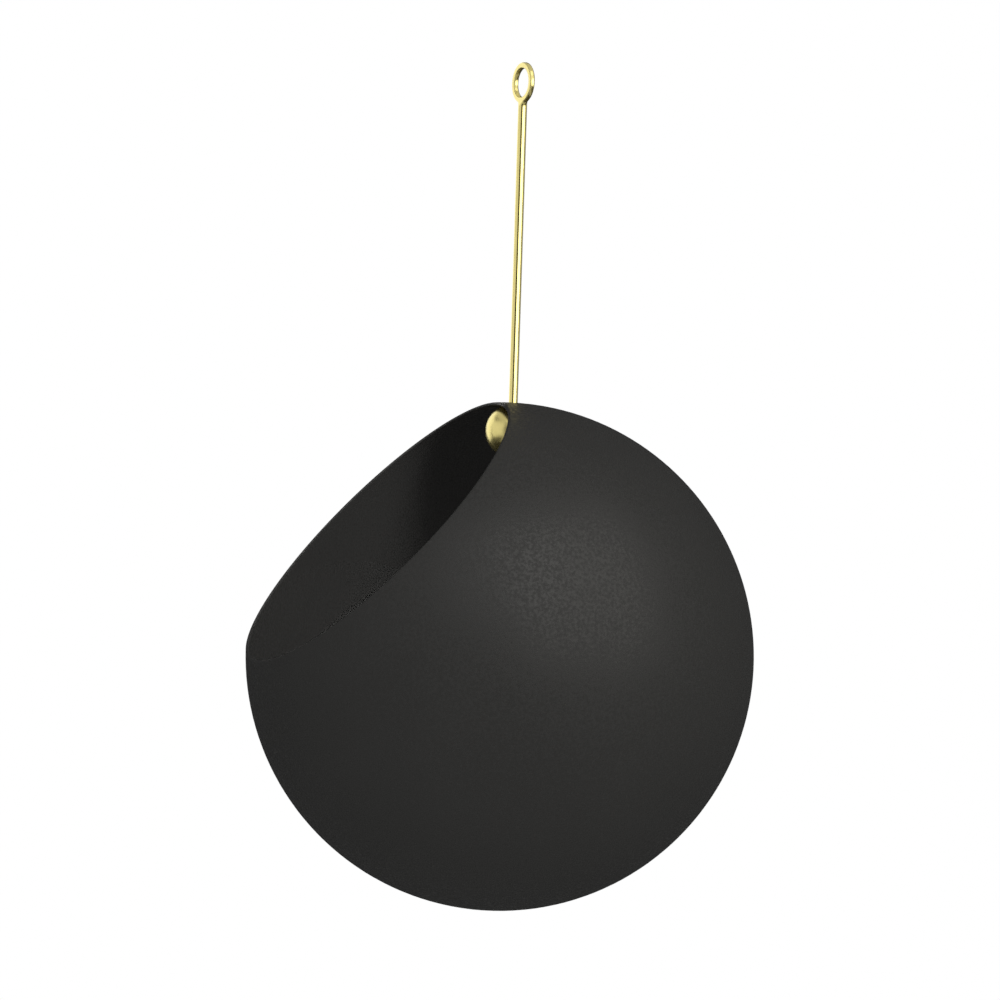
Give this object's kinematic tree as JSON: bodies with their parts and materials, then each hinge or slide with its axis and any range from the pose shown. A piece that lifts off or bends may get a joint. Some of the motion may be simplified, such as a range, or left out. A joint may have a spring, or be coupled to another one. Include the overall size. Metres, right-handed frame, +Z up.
{
  "type": "hanging planter",
  "caption": "Hanging planter: a spun steel globe with a slanted round mouth that rests on a brass ball inside, at the foot of a thin brass rod with a closed eye on top.",
  "frame": {"origin": "centre of the eye at the top of the rod", "axes": "+Z up along the rod, -X towards the side the globe's mouth faces, +Y completes the right-handed frame; the eye's axis is level and turned 8 degrees from +X"},
  "size_m": [0.1699, 0.17, 0.284],
  "materials": {
    "powder_coat": "fine matt black powder coat on steel",
    "brass": "bright polished brass"
  },
  "bodies": {
    "hanger": {"hanging_rod": "brass", "eye_ring": "brass"},
    "ball": {"ball_knob": "brass"},
    "globe": {"globe_shell": "powder_coat"}
  },
  "joints": [
    {"name": "globe_swivel", "type": "hinge", "parent": "hanger", "child": "ball", "pos_m": [0, 0, -0.1168], "axis": [0, 0, 1], "continuous": true},
    {"name": "globe_tilt", "type": "hinge", "parent": "ball", "child": "globe", "pos_m": [0, 0, -0.1168], "axis": [0, 1, 0], "range_deg": [-10.4, 7.4]}
  ]
}
